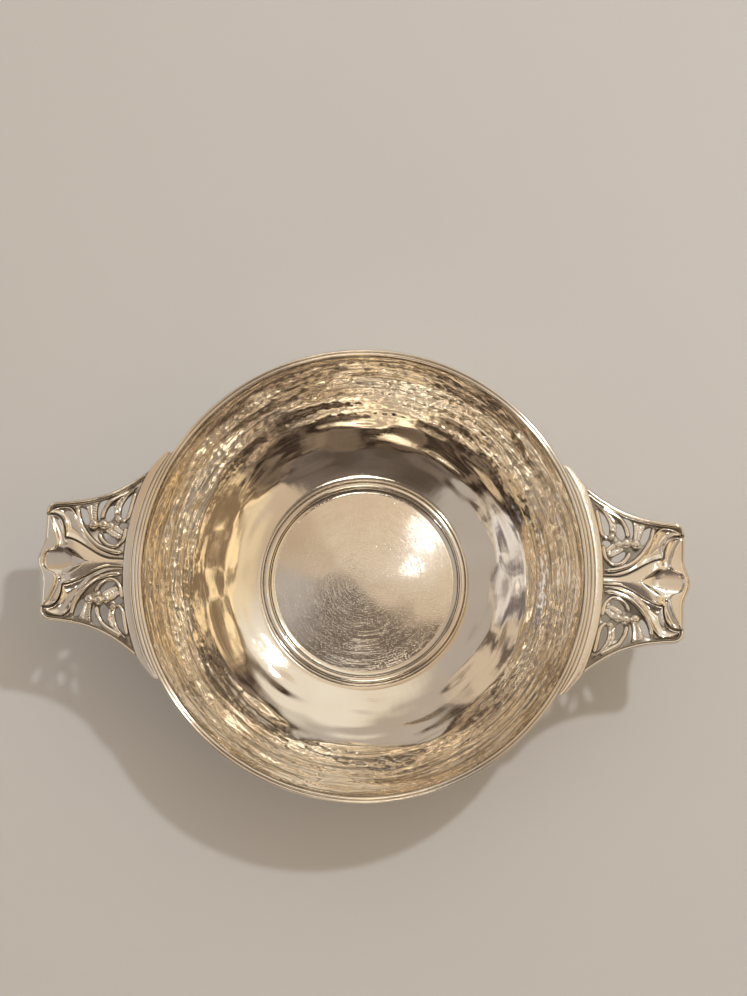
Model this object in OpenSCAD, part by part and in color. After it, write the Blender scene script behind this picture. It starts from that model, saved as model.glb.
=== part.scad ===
// Silver quaich: a shallow hammered drinking bowl with two pierced leaf lugs.
// Millimetres, +Z up. The origin is the centre of the plane that the foot stands on.
// The lugs point along +X and -X, and back means the +Y side.

/* [Bowl] */
// Outer diameter of the rim
rim_d = 130; // [115:1:150]
// Depth of the bowl from its lip to its floor
bowl_depth = 29; // [25:0.5:33]
// Diameter of the flat floor
floor_d = 64; // [58:1:70]
// Steepness of the wall where it leaves the floor, in degrees
floor_slope = 14; // [8:1:20]
// Thickness of the sheet
wall = 1.3; // [0.9:0.1:1.8]

/* [Rim wire] */
// Width of the wire on the lip
rim_w = 1.75; // [1.4:0.05:2.2]
// Height of the wire
rim_h = 1.5; // [1:0.1:2]
// Depth of the groove between its two reeds
reed_groove = 0.6; // [0.4:0.05:0.8]

/* [Centre] */
// Bare floor left outside the centre ring
ring_margin = 0.4; // [0.2:0.1:1]
// Width of the centre ring
ring_w = 3.3; // [2.6:0.1:4.2]
// Height of the centre ring
ring_h = 1.2; // [0.8:0.1:1.8]
// Thickness of the centre disc at its edge
disc_t = 0.5; // [0.4:0.1:0.8]
// Rise of the disc's crown
disc_crown = 0.8; // [0.4:0.1:1.4]

/* [Foot] */
// Height of the foot, its wire included
foot_h = 6; // [4.5:0.5:9]
// Outer diameter of the collet under the floor
collet_top_d = 55; // [48:1:57]
// Outer diameter of the collet where it meets the foot wire
collet_base_d = 61; // [58:1:66]
// Thickness of the collet
collet_t = 1.2; // [0.9:0.1:1.8]
// Width of the foot wire
foot_wire_w = 3; // [2.4:0.1:4]
// Height of the foot wire
foot_wire_h = 1.6; // [1.2:0.1:2.2]

/* [Lug] */
// Length of a lug from the rim to its tip
lug_len = 28.5; // [24:0.5:33]
// Width of a lug at its outer corners
lug_tip_w = 34; // [29:0.2:37]
// Width of a lug where its borders leave the strap
lug_root_w = 53.8; // [48:0.2:58]
// Distance between the two ends of the strap
strap_span = 66; // [62:0.5:72]
// Width of the strap
strap_w = 3.6; // [3:0.1:4.4]
// Height of the strap
strap_h = 2.8; // [2.4:0.1:3.4]
// Drop from the top of the rim to the top of the strap
lug_drop = 0.6; // [0.3:0.1:1.2]
// Thickness of the pierced plate
plate_t = 1.2; // [0.9:0.1:1.6]
// Swell of the tip beyond the outer corners
tip_swell = 1.8; // [1:0.1:2.6]
// Outer radius of the outer corners
corner_r = 2.5; // [2:0.1:3.2]

/* [Ornament] */
// Width of a border wire
border_w = 1.45; // [1.1:0.05:1.7]
// Height of a border wire above the plate
border_h = 1.4; // [1:0.1:1.6]
// Width of the leaf at the strap
leaf_root_w = 2.4; // [1.8:0.1:2.8]
// Width of the leaf at its outer end
leaf_w = 13.2; // [11:0.2:15]
// Height of the leaf at the strap
leaf_root_h = 0.7; // [0.5:0.1:1.2]
// Height of the leaf at its outer end
leaf_h = 1.9; // [1.4:0.1:2.2]
// Height of the petals
petal_h = 1.2; // [0.8:0.1:1.6]
// Width of the thicker stems
stem_w = 0.95; // [0.7:0.05:1.1]
// Height of the stems and small leaves
stem_h = 1; // [0.7:0.1:1.4]
// Diameter of the two large berries
berry_d = 2.2; // [1.8:0.1:2.4]
// Width of each thumb hollow in the tip
hollow_w = 6.2; // [5:0.2:6.6]
// Depth of the thumb hollows
hollow_depth = 0.9; // [0.5:0.1:1.2]

/* [Fits] */
// Gap for solder between the strap and the bowl
solder_gap = 0.05; // [0.02:0.01:0.1]
// Groove left between neighbouring pieces of ornament
groove = 0.3; // [0.2:0.05:0.4]
// Gap between the centre disc and its ring
disc_gap = 0.05; // [0.02:0.01:0.1]

/* [Hidden] */
$fn = 96;

// Sides of the object, and the front and back halves of a lug
RIGHT = 1;
LEFT = -1;
BACK = 1;
FRONT = -1;

// Tones of the silver: the polished sheet, the worked wires and the berries
SHEET = [0.80, 0.76, 0.69];
WIRE = [0.86, 0.81, 0.72];
SHADE = [0.62, 0.56, 0.47];
BERRY = [0.92, 0.88, 0.80];

// Levels, from the standing plane up
floor_z = foot_h + wall;
lip_z = floor_z + bowl_depth;
top_z = lip_z + rim_h;
strap_top_z = top_z - lug_drop;
plate_z = strap_top_z - strap_h;
plate_top_z = plate_z + plate_t;

// Radii of the bowl and the arc that its inner wall follows
rim_r = rim_d / 2;
lip_r = rim_r - rim_w;
floor_r = floor_d / 2;
ring_r = floor_r - ring_margin;
disc_r = ring_r - ring_w - disc_gap;
chord_angle = atan2(bowl_depth, lip_r - floor_r);
wall_turn = chord_angle - floor_slope;
wall_arc_r = norm([lip_r - floor_r, bowl_depth]) / (2 * sin(wall_turn));
wall_centre = [floor_r - wall_arc_r * sin(floor_slope), floor_z + wall_arc_r * cos(floor_slope)];
wall_steps = 28;
arc_steps = 16;
reed_turn = 15;

// Places on a lug are written [s, t]: s runs from the strap, 0, to the corners, 1,
// and t from the lug's centre line, 0, to the inner edge of its border, 1
strap_r = rim_r + strap_w;
tip_x = rim_r + lug_len - tip_swell;
root_half = lug_root_w / 2;
tip_half = lug_tip_w / 2;
border_fall_share = 0.3;
flare_half = (root_half - tip_half) / (1 - exp(-1 / border_fall_share));
curve_steps = 6;
cap_steps = 5;
cap_turn = 75;
tip_steps = 12;
edge_steps = 24;
root_s = solder_gap / (tip_x - strap_r);
swell_share = 0.4;
swell_half = swell_share * tip_half;

// Angles at which the strap starts to taper and ends, and the length of its round ends
strap_end_share = 0.42;
strap_end_angle = asin(strap_span / 2 / (rim_r + strap_end_share * strap_w / 2));
strap_taper_angle = asin(root_half / strap_r);
strap_round_angle = 1.5;
strap_steps = 60;

// Where the leaf starts to flare and where it and the petals end, as shares of the way along a lug
leaf_flare_start_share = 0.15;
leaf_flare_stop_share = 0.75;
leaf_stop_share = 0.75;
petal_stop_share = 0.9;

// Shares of the widths and heights that the mouldings are cut to
ring_bead_share = 0.14;
strap_bead_share = 0.25;
border_end_share = 0.33;
fine_stem_share = 0.85;
tip_roll_share = 0.9;

// How far the petals' outer ends stay back from the tip's side lobes
lobe_shift = [-0.015, 0.03];

// Piercings in one half of the plate
PIERCINGS = [
    [[0.04, 0.88], [0.11, 0.865], [0.145, 0.75], [0.11, 0.61], [0.065, 0.60], [0.05, 0.72]],
    [[0.24, 0.85], [0.30, 0.84], [0.31, 0.72], [0.26, 0.62], [0.21, 0.65], [0.19, 0.75]],
    [[0.31, 0.97], [0.40, 0.98], [0.41, 0.82], [0.37, 0.67], [0.355, 0.82]],
    [[0.615, 0.95], [0.59, 0.80], [0.53, 0.65], [0.48, 0.64], [0.48, 0.76], [0.54, 0.89]],
    [[0.03, 0.48], [0.10, 0.53], [0.13, 0.48], [0.08, 0.41], [0.03, 0.39]],
    [[0.11, 0.26], [0.19, 0.27], [0.27, 0.37], [0.29, 0.45], [0.22, 0.41], [0.14, 0.33]]
];

// Centre lines of the stems in one half
MAIN_STEM = [
    [0.02, 0.13], [0.13, 0.15], [0.24, 0.20], [0.35, 0.28], [0.47, 0.44], [0.56, 0.62],
    [0.615, 0.80], [0.64, 0.96]
];
LOOP_STEM = [
    [0.03, 0.44], [0.03, 0.33], [0.06, 0.26], [0.13, 0.225], [0.22, 0.26], [0.30, 0.36], [0.34, 0.47]
];
SCROLL = [[0.035, 0.88], [0.03, 0.72], [0.03, 0.60], [0.06, 0.55], [0.10, 0.555]];
TENDRIL = [[0.10, 0.965], [0.20, 0.965], [0.28, 0.93], [0.325, 0.82], [0.335, 0.68]];

// Outlines of the small leaves in one half
SMALL_LEAVES = [
    [[0.03, 0.95], [0.10, 0.95], [0.16, 0.91], [0.19, 0.82], [0.18, 0.70], [0.155, 0.64], [0.155, 0.75],
     [0.12, 0.87]],
    [[0.42, 0.97], [0.50, 0.97], [0.47, 0.82], [0.44, 0.68], [0.41, 0.68], [0.42, 0.84]],
    [[0.05, 0.35], [0.10, 0.42], [0.16, 0.475], [0.22, 0.50], [0.26, 0.50], [0.21, 0.43], [0.13, 0.36],
     [0.08, 0.32]],
    [[0.645, 0.87], [0.68, 0.94], [0.75, 0.98], [0.70, 0.985], [0.66, 0.985]]
];

// Outer edge of a petal in one half: along the main stem, then out to the border and the corner
PETAL_SIDE = [
    [0.02, 0.13], [0.13, 0.15], [0.24, 0.20], [0.35, 0.28], [0.47, 0.44], [0.56, 0.62], [0.615, 0.79],
    [0.66, 0.88], [0.73, 0.94], [0.82, 0.955], [0.90, 0.92]
];

// Berries in one half: place along, place across, and size as a share of berry_d
BERRIES = [[0.14, 0.60, 0.66], [0.21, 0.525, 0.86], [0.30, 0.58, 1], [0.415, 0.61, 1]];

// Height of a berry's centre above the plate, as a share of its radius
berry_seat_share = 0.5;

// Edge of the tip's side lobe in one half
TIP_SIDE = [[0.765, 0.30], [0.755, 0.45], [0.77, 0.60], [0.81, 0.74], [0.88, 0.82], [0.96, 0.84]];

// Thumb hollows in the tip: place along, place across
HOLLOWS = [[0.85, 0], [0.86, 0.59]];

function smooth(t) = let (u = min(max(t, 0), 1)) u * u * (3 - 2 * u);
function mix(a, b, t) = a + (b - a) * t;
function arc(centre, r, from, to, steps) =
    [for (i = [0 : steps]) let (a = mix(from, to, i / steps)) centre + r * [cos(a), sin(a)]];
// Radius of the sphere whose cap has this half width and height
function sphere_r(half, height) = (half * half + height * height) / (2 * height);
function backwards(list) = [for (i = [len(list) - 1 : -1 : 0]) list[i]];
function mirrored(list) = [for (p = backwards(list)) [p[0], -p[1]]];

// A smooth curve through points, open or closed
function curve_at(a, b, c, d, t) =
    0.5 * (2 * b + (c - a) * t + (2 * a - 5 * b + 4 * c - d) * t * t + (3 * b - a - 3 * c + d) * t * t * t);
function closed_curve(p) = let (n = len(p)) [
    for (i = [0 : n - 1]) for (k = [0 : curve_steps - 1])
        curve_at(p[(i + n - 1) % n], p[i], p[(i + 1) % n], p[(i + 2) % n], k / curve_steps)
];
function open_curve(p) = let (n = len(p)) concat([
    for (i = [0 : n - 2]) for (k = [0 : curve_steps - 1])
        curve_at(p[max(i - 1, 0)], p[i], p[i + 1], p[min(i + 2, n - 1)], k / curve_steps)
], [p[n - 1]]);

// Half widths of a lug along s: outside and inside its border, and of its leaf
function outer_half(s) = root_half - flare_half * (1 - exp(-s / border_fall_share));
function border_slope(s) = flare_half / border_fall_share * exp(-s / border_fall_share) / (tip_x - strap_r);
function inner_half(s) = outer_half(s) - border_w * norm([1, border_slope(s)]);
function flare(s, start, stop) = smooth((s - start) / (stop - start));
function leaf_half(s) =
    mix(leaf_root_w, leaf_w, flare(s, leaf_flare_start_share, leaf_flare_stop_share)) / 2;

// A point at s along a lug and y across it, and a place [s, t]
function strap_edge(y) = sqrt(strap_r * strap_r - y * y);
function along(s, y) = [mix(strap_edge(y), tip_x, s), y];
function place(p) = along(p[0], p[1] * inner_half(p[0]));
function places(list) = [for (p = list) place(p)];
function tip_edge(y) = tip_x + tip_swell * (1 + cos(180 * min(abs(y) / swell_half, 1))) / 2;

// The inner and outer wall of the bowl, from the floor up; clearance moves the outer one outwards
function wall_point(r, slope) = wall_centre + r * [sin(slope), -cos(slope)];
function inner_wall() =
    let (lip_slope = floor_slope + 2 * wall_turn)
    [for (i = [0 : wall_steps]) wall_point(wall_arc_r, mix(floor_slope, lip_slope, i / wall_steps))];
function outer_wall(clearance) =
    let (r = wall_arc_r + wall + clearance)
    let (lip_slope = acos((wall_centre[1] - lip_z) / r))
    [for (i = [0 : wall_steps]) wall_point(r, mix(floor_slope, lip_slope, i / wall_steps))];

module on_side(side) {
    if (side == RIGHT) children();
    else mirror([1, 0, 0]) children();
}

module in_half(half) {
    if (half == BACK) children();
    else mirror([0, 1, 0]) children();
}

// A solid that stands on the plate
module on_plate(height) translate([0, 0, plate_top_z]) linear_extrude(height) children();

// A strip of even width along a line of points, with round ends
module strip(points, width) {
    last = len(points) - 1;
    ways = [for (i = [0 : last]) points[min(i + 1, last)] - points[max(i - 1, 0)]];
    angles = [for (w = ways) atan2(w[1], w[0])];
    sides = [for (a = angles) [-sin(a), cos(a)] * width / 2];
    end_cap = arc(points[last], width / 2, angles[last] + cap_turn, angles[last] - cap_turn, cap_steps);
    back = angles[0] + 180;
    start_cap = arc(points[0], width / 2, back + cap_turn, back - cap_turn, cap_steps);
    polygon(concat(points + sides, end_cap, backwards(points - sides), start_cap));
}

// Everything inside the outer face of the bowl and its rim, which a strap must stay out of
module bowl_seat() {
    rotate_extrude($fn = 360) polygon(concat(
        [[0, floor_z - wall]],
        outer_wall(solder_gap),
        [[rim_r + solder_gap, lip_z], [rim_r + solder_gap, top_z + rim_h], [0, top_z + rim_h]]
    ));
}

// A block that follows a side profile in X and Z, as wide as a lug
module side_block(profile) rotate([90, 0, 0]) linear_extrude(lug_root_w, center = true) polygon(profile);

module bowl() {
    color(SHEET) rotate_extrude() polygon(concat(
        [[0, floor_z], [floor_r, floor_z]],
        inner_wall(),
        backwards(outer_wall(0)),
        [[floor_r, floor_z - wall], [0, floor_z - wall]]
    ));
}

// Two half-round reeds with a groove between them, on the bowl's lip
module rim_wire() {
    reed_r = rim_w / 4;
    shoulder_z = top_z - reed_r;
    inner_reed = arc([lip_r + reed_r, shoulder_z], reed_r, 180, reed_turn, arc_steps);
    outer_reed = arc([rim_r - reed_r, shoulder_z], reed_r, 180 - reed_turn, 0, arc_steps);
    groove_bottom = [[lip_r + 2 * reed_r, top_z - reed_groove]];
    profile = concat([[lip_r, lip_z]], inner_reed, groove_bottom, outer_reed, [[rim_r, lip_z]]);
    color(WIRE) rotate_extrude() polygon(profile);
}

// A moulded ring: a bead outside, a hollow, and a broad round band
module centre_ring() {
    bead_r = ring_bead_share * ring_w;
    band_half = (ring_w - 3 * bead_r) / 2;
    base_h = ring_h / 2;
    color(WIRE) translate([0, 0, floor_z]) rotate_extrude() {
        translate([ring_r - ring_w, 0]) square([ring_w, base_h]);
        translate([ring_r - bead_r, base_h]) circle(bead_r);
        intersection() {
            translate([ring_r - ring_w + band_half, base_h]) circle(band_half);
            translate([ring_r - ring_w, 0]) square([ring_w, ring_h]);
        }
    }
}

module centre_disc() {
    crown_r = sphere_r(disc_r, disc_crown);
    edge_angle = asin(disc_r / crown_r);
    crown = arc([0, disc_t + disc_crown - crown_r], crown_r, 90, 90 - edge_angle, arc_steps);
    color(SHEET) translate([0, 0, floor_z]) rotate_extrude() polygon(concat([[0, 0]], crown, [[disc_r, 0]]));
}

// The spreading collar, hollowed on its outer face
module foot_collet() {
    top_r = collet_top_d / 2;
    base_r = collet_base_d / 2;
    face = [for (i = [0 : arc_steps])
        [mix(base_r, top_r, sin(90 * i / arc_steps)), mix(foot_wire_h, foot_h, i / arc_steps)]];
    color(SHEET) rotate_extrude() polygon(concat(face, backwards([for (p = face) p - [collet_t, 0]])));
}

module foot_wire() {
    bead_r = foot_wire_h / 2;
    outer_r = collet_base_d / 2 + foot_wire_w - collet_t - bead_r;
    color(WIRE) rotate_extrude() {
        translate([outer_r + bead_r - foot_wire_w, 0]) square([foot_wire_w - bead_r, foot_wire_h]);
        intersection() {
            translate([outer_r, bead_r]) circle(bead_r);
            square([outer_r + bead_r, foot_wire_h]);
        }
    }
}

// Steps along a lug from just off the strap
function edge_places(end) = [for (i = [0 : edge_steps]) mix(root_s, end, i / edge_steps)];

// Outline of the plate outside the strap, up to the corners and the swollen tip
function corner_start() = 1 - corner_r / (tip_x - strap_edge(tip_half));
function corner_centre() = let (y = outer_half(corner_start()) - corner_r) [tip_x - corner_r, y];
function outer_edge() = [for (s = edge_places(corner_start())) along(s, outer_half(s))];
function inner_edge() = [for (s = edge_places(corner_start())) along(s, inner_half(s))];
function tip_line(from_y) =
    [for (i = [0 : tip_steps]) let (y = from_y * (1 - i / tip_steps)) [tip_edge(y), y]];
function lug_half_outline() =
    let (centre = corner_centre())
    concat(outer_edge(), arc(centre, corner_r, cap_turn, 90 - cap_turn, cap_steps), tip_line(centre[1]));

module lug_outline() {
    half = lug_half_outline();
    root = [for (i = [1 - edge_steps : edge_steps - 1]) along(root_s, outer_half(root_s) * i / edge_steps)];
    polygon(concat(half, mirrored(half), root));
}

// The ground of one half that is clear of the strap and the border
module lug_field() {
    root = [for (i = [0 : edge_steps - 1]) along(root_s, inner_half(root_s) * i / edge_steps)];
    edge = [for (s = edge_places(1)) along(s, inner_half(s) - solder_gap)];
    polygon(concat(root, edge, [[tip_x, 0]]));
}

module lug_plate(side) {
    color(SHADE) on_side(side) translate([0, 0, plate_z]) linear_extrude(plate_t) difference() {
        lug_outline();
        for (half = [BACK, FRONT]) in_half(half) for (hole = PIERCINGS) polygon(closed_curve(places(hole)));
    }
}

// Width of the strap at an angle from the lug's centre line: even, then tapering to round ends
function strap_width(a) =
    let (taper = max(abs(a) - strap_taper_angle, 0) / (strap_end_angle - strap_taper_angle))
    let (end = max(abs(a) - strap_end_angle + strap_round_angle, 0) / strap_round_angle)
    strap_w * mix(1, strap_end_share, taper) * sqrt(1 - min(end, 1) * min(end, 1));

module strap_outline() {
    angles = [for (i = [0 : strap_steps]) mix(-strap_end_angle, strap_end_angle, i / strap_steps)];
    outside = [for (a = angles) (rim_r + strap_width(a)) * [cos(a), sin(a)]];
    inside = [for (a = angles) (rim_r - strap_w) * [cos(a), sin(a)]];
    polygon(concat(outside, backwards(inside)));
}

module lug_strap(side) {
    bead_w = strap_bead_share * strap_w;
    bead_angle = strap_end_angle - 2 * strap_round_angle;
    bead_arc = arc([0, 0], rim_r + bead_w, -bead_angle, bead_angle, strap_steps);
    bead_h = lug_drop / 2;
    color(WIRE) on_side(side) difference() {
        union() {
            translate([0, 0, plate_z]) linear_extrude(strap_h) strap_outline();
            translate([0, 0, plate_z]) linear_extrude(strap_h + bead_h)
                polygon(concat([[lip_r - strap_w, 0]], bead_arc));
        }
        bowl_seat();
    }
}

// A side wire, from the strap to the outer corner and round it to the tip
module lug_border(side, half) {
    centre = corner_centre();
    end_y = centre[1] - border_end_share * corner_r;
    outside = concat(outer_edge(), arc(centre, corner_r, cap_turn, 0, cap_steps), [[tip_x, end_y]]);
    corner = arc(centre, corner_r - border_w, cap_turn, 0, cap_steps);
    inside = concat(inner_edge(), corner, [[tip_x - border_w, end_y]]);
    color(WIRE) on_side(side) in_half(half) on_plate(border_h) polygon(concat(outside, backwards(inside)));
}

// The flared tongue, which rises from the strap to its outer end
module lug_leaf(side) {
    edge = [for (s = edge_places(leaf_stop_share)) along(s, leaf_half(s))];
    root_x = strap_edge(0);
    end_x = mix(root_x, tip_x, leaf_stop_share);
    color(WIRE) on_side(side) translate([0, 0, plate_top_z]) intersection() {
        linear_extrude(leaf_h) polygon(concat(edge, mirrored(edge)));
        side_block([[root_x, 0], [end_x, 0], [end_x, leaf_h], [root_x, leaf_root_h]]);
    }
}

// Outline of half the tip: a rolled edge with a side lobe that reaches the corner
function tip_half_outline() =
    let (side = open_curve(places(TIP_SIDE)))
    concat([[side[0][0], 0]], side, tip_line(side[len(side) - 1][1]));

module lug_tip(side) {
    half = tip_half_outline();
    front_x = tip_x + tip_swell;
    back_x = mix(strap_edge(0), tip_x, leaf_stop_share);
    roll_r = tip_roll_share * leaf_h;
    nose = arc([front_x - roll_r, leaf_h - roll_r], roll_r, 90, 0, arc_steps);
    hollow_r = sphere_r(hollow_w / 2, hollow_depth);
    color(WIRE) on_side(side) translate([0, 0, plate_top_z]) difference() {
        intersection() {
            linear_extrude(leaf_h) polygon(concat(half, mirrored(half)));
            side_block(concat([[back_x, 0], [back_x, leaf_h]], nose, [[front_x, 0]]));
        }
        for (h = [BACK, FRONT]) in_half(h) for (p = HOLLOWS)
            translate(concat(place(p), [leaf_h - hollow_depth + hollow_r])) sphere(hollow_r);
    }
}

// A petal between the leaf and the main stem, cut off where the tip's side lobe begins
module lug_petal(side, half) {
    inside = [for (s = edge_places(petal_stop_share)) along(s, leaf_half(s) + groove)];
    outside = open_curve(places(PETAL_SIDE));
    lobe = open_curve(places([for (p = TIP_SIDE) p + lobe_shift]));
    last = lobe[len(lobe) - 1];
    color(WIRE) on_side(side) in_half(half) on_plate(petal_h) difference() {
        polygon(concat(inside, backwards(outside)));
        polygon(concat([[lobe[0][0], 0]], lobe, [[tip_x + lug_len, last[1]], [tip_x + lug_len, 0]]));
        strip(open_curve(places(MAIN_STEM)), stem_w + 2 * groove);
    }
}

module spray_lines() {
    for (line = [MAIN_STEM, TENDRIL]) strip(open_curve(places(line)), stem_w);
    for (line = [LOOP_STEM, SCROLL]) strip(open_curve(places(line)), fine_stem_share * stem_w);
    for (leaf = SMALL_LEAVES) polygon(closed_curve(places(leaf)));
}

// Stems, tendrils and small leaves, inside the border and clear of the berries
module lug_spray(side, half) {
    color(WIRE) on_side(side) in_half(half) on_plate(stem_h) difference() {
        intersection() {
            spray_lines();
            lug_field();
        }
        for (b = BERRIES) translate(place(b)) circle(berry_d * b[2] / 2 + solder_gap);
    }
}

module lug_berries(side, half) {
    color(BERRY) on_side(side) in_half(half) intersection() {
        union() for (b = BERRIES) let (r = berry_d * b[2] / 2)
            translate(concat(place(b), [plate_top_z + r * berry_seat_share])) sphere(r);
        on_plate(2 * berry_d) square(2 * (tip_x + lug_len), center = true);
    }
}

bowl();
rim_wire();
centre_ring();
centre_disc();
foot_collet();
foot_wire();
lug_plate(RIGHT);  // right_lug_plate
lug_strap(RIGHT);  // right_lug_strap
lug_border(RIGHT, FRONT);  // right_lug_border_front
lug_border(RIGHT, BACK);  // right_lug_border_back
lug_leaf(RIGHT);  // right_lug_leaf
lug_petal(RIGHT, FRONT);  // right_lug_petal_front
lug_petal(RIGHT, BACK);  // right_lug_petal_back
lug_spray(RIGHT, FRONT);  // right_lug_spray_front
lug_spray(RIGHT, BACK);  // right_lug_spray_back
lug_berries(RIGHT, FRONT);  // right_lug_berries_front
lug_berries(RIGHT, BACK);  // right_lug_berries_back
lug_tip(RIGHT);  // right_lug_tip
lug_plate(LEFT);  // left_lug_plate
lug_strap(LEFT);  // left_lug_strap
lug_border(LEFT, FRONT);  // left_lug_border_front
lug_border(LEFT, BACK);  // left_lug_border_back
lug_leaf(LEFT);  // left_lug_leaf
lug_petal(LEFT, FRONT);  // left_lug_petal_front
lug_petal(LEFT, BACK);  // left_lug_petal_back
lug_spray(LEFT, FRONT);  // left_lug_spray_front
lug_spray(LEFT, BACK);  // left_lug_spray_back
lug_berries(LEFT, FRONT);  // left_lug_berries_front
lug_berries(LEFT, BACK);  // left_lug_berries_back
lug_tip(LEFT);  // left_lug_tip
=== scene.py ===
import math

import bmesh
import bpy
import numpy as np
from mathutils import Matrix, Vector, geometry, kdtree


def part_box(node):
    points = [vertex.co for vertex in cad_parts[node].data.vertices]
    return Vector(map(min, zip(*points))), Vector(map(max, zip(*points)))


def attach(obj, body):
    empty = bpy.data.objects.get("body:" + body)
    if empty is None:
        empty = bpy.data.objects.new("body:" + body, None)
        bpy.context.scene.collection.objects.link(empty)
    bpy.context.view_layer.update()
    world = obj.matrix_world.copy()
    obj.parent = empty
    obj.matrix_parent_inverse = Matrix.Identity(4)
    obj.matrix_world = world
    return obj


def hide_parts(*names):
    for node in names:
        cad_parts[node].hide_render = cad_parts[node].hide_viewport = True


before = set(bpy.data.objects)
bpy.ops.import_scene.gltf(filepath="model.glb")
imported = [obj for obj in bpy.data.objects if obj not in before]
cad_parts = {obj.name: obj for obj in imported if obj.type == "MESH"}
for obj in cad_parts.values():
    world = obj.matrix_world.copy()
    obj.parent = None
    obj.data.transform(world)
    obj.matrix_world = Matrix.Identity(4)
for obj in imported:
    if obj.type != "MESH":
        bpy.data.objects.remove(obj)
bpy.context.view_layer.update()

MM = 0.001
SEED = 7
FULL_TURN = 2 * math.pi
SHARP_ANGLE = math.radians(50)
SIDES = {"right": 1, "left": -1}
HALVES = {"back": 1, "front": -1}


def low(node):
    """Lowest corner of a CAD node, in millimetres."""
    return np.array(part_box(node)[0]) / MM


def high(node):
    """Highest corner of a CAD node, in millimetres."""
    return np.array(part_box(node)[1]) / MM


# Bowl and foot, from the frame where it shows them
RIM_R = high("rim_wire")[0]
RIM_W = 1.75
TOP_Z = high("rim_wire")[2]
LIP_Z = low("rim_wire")[2]
LIP_R = RIM_R - RIM_W
FLOOR_Z = low("centre_ring")[2]
FLOOR_R = 32.0
FLOOR_SLOPE = math.radians(14)
UNDER_Z = low("bowl")[2]
WALL = FLOOR_Z - UNDER_Z
RING_R = high("centre_ring")[0]
RING_H = high("centre_ring")[2] - FLOOR_Z
RING_CLEARANCE = 0.05
DISC_R = high("centre_disc")[0]
RING_W = RING_R - DISC_R - RING_CLEARANCE
DISC_T = 0.5
DISC_CROWN = high("centre_disc")[2] - FLOOR_Z - DISC_T
COLLET_TOP_R = 27.5
COLLET_BASE_R = high("foot_collet")[0]
COLLET_T = 1.2
FOOT_R = high("foot_wire")[0]
FOOT_WIRE_W = 3.0
FOOT_WIRE_H = high("foot_wire")[2]

# The arc of the inner wall, from the floor to the lip
WALL_TURN = math.atan2(LIP_Z - FLOOR_Z, LIP_R - FLOOR_R) - FLOOR_SLOPE
WALL_ARC_R = math.hypot(LIP_R - FLOOR_R, LIP_Z - FLOOR_Z) / (2 * math.sin(WALL_TURN))
WALL_CENTRE_R = FLOOR_R - WALL_ARC_R * math.sin(FLOOR_SLOPE)
WALL_CENTRE_Z = FLOOR_Z + WALL_ARC_R * math.cos(FLOOR_SLOPE)
LIP_SLOPE = FLOOR_SLOPE + 2 * WALL_TURN

# Lugs, from the frame where it shows them
STRAP_R = high("right_lug_strap")[0]
STRAP_W = STRAP_R - RIM_R
STRAP_H = 2.8
STRAP_SPAN = 66.0
STRAP_END_SHARE = 0.42
STRAP_ROUND = math.radians(1.5)
PLATE_Z = low("right_lug_plate")[2]
PLATE_TOP = high("right_lug_plate")[2]
STRAP_TOP = PLATE_Z + STRAP_H
TIP_X = high("right_lug_border_back")[0]
TIP_SWELL = high("right_lug_tip")[0] - TIP_X
ROOT_HALF = 26.9
TIP_HALF = 17.0
SWELL_SHARE = 0.4
SWELL_HALF = SWELL_SHARE * TIP_HALF
BORDER_FALL = 0.3
BORDER_W = 1.45
BORDER_H = 1.4
CORNER_R = 3.2
GROOVE = 0.22
RAIL_GAP = 0.15
LEAF_ROOT_W = 2.4
LEAF_W = 13.2
LEAF_STOP = 0.75
LEAF_FLARE = (0.15, 0.75)
STEM = (1.5, 1.15)
FINE_STEM = (1.3, 0.95)
SMALL_LEAF_H = 1.05
BERRY_D = 3.05
FLARE_HALF = (ROOT_HALF - TIP_HALF) / (1 - math.exp(-1 / BORDER_FALL))
STRAP_END = math.asin(STRAP_SPAN / 2 / (RIM_R + STRAP_END_SHARE * STRAP_W / 2))
STRAP_TAPER = math.asin(ROOT_HALF / STRAP_R)

# Places on one half of a lug, as [s, t]: s from the strap, 0, to the corners, 1,
# and t from the centre line, 0, to the inner edge of the border, 1
PIERCINGS = [
    [[0.04, 0.88], [0.11, 0.865], [0.145, 0.75], [0.11, 0.61], [0.065, 0.60], [0.05, 0.72]],
    [[0.24, 0.85], [0.30, 0.84], [0.31, 0.72], [0.26, 0.62], [0.21, 0.65], [0.19, 0.75]],
    [[0.31, 0.97], [0.40, 0.98], [0.41, 0.82], [0.37, 0.67], [0.355, 0.82]],
    [[0.615, 0.95], [0.59, 0.80], [0.53, 0.65], [0.48, 0.64], [0.48, 0.76], [0.54, 0.89]],
    [[0.03, 0.48], [0.10, 0.53], [0.13, 0.48], [0.08, 0.41], [0.03, 0.39]],
    [[0.11, 0.26], [0.19, 0.27], [0.27, 0.37], [0.29, 0.45], [0.22, 0.41], [0.14, 0.33]],
]
MAIN_STEM = [
    [0.02, 0.13], [0.13, 0.15], [0.24, 0.20], [0.35, 0.28], [0.47, 0.44], [0.56, 0.62],
    [0.615, 0.80], [0.64, 0.96],
]
LOOP_STEM = [
    [0.03, 0.44], [0.03, 0.33], [0.06, 0.26], [0.13, 0.225], [0.22, 0.26], [0.30, 0.36], [0.34, 0.47],
]
SCROLL = [[0.035, 0.88], [0.03, 0.72], [0.03, 0.60], [0.06, 0.55], [0.10, 0.555]]
TENDRIL = [[0.10, 0.955], [0.20, 0.96], [0.28, 0.93], [0.325, 0.82], [0.335, 0.68]]
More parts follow.
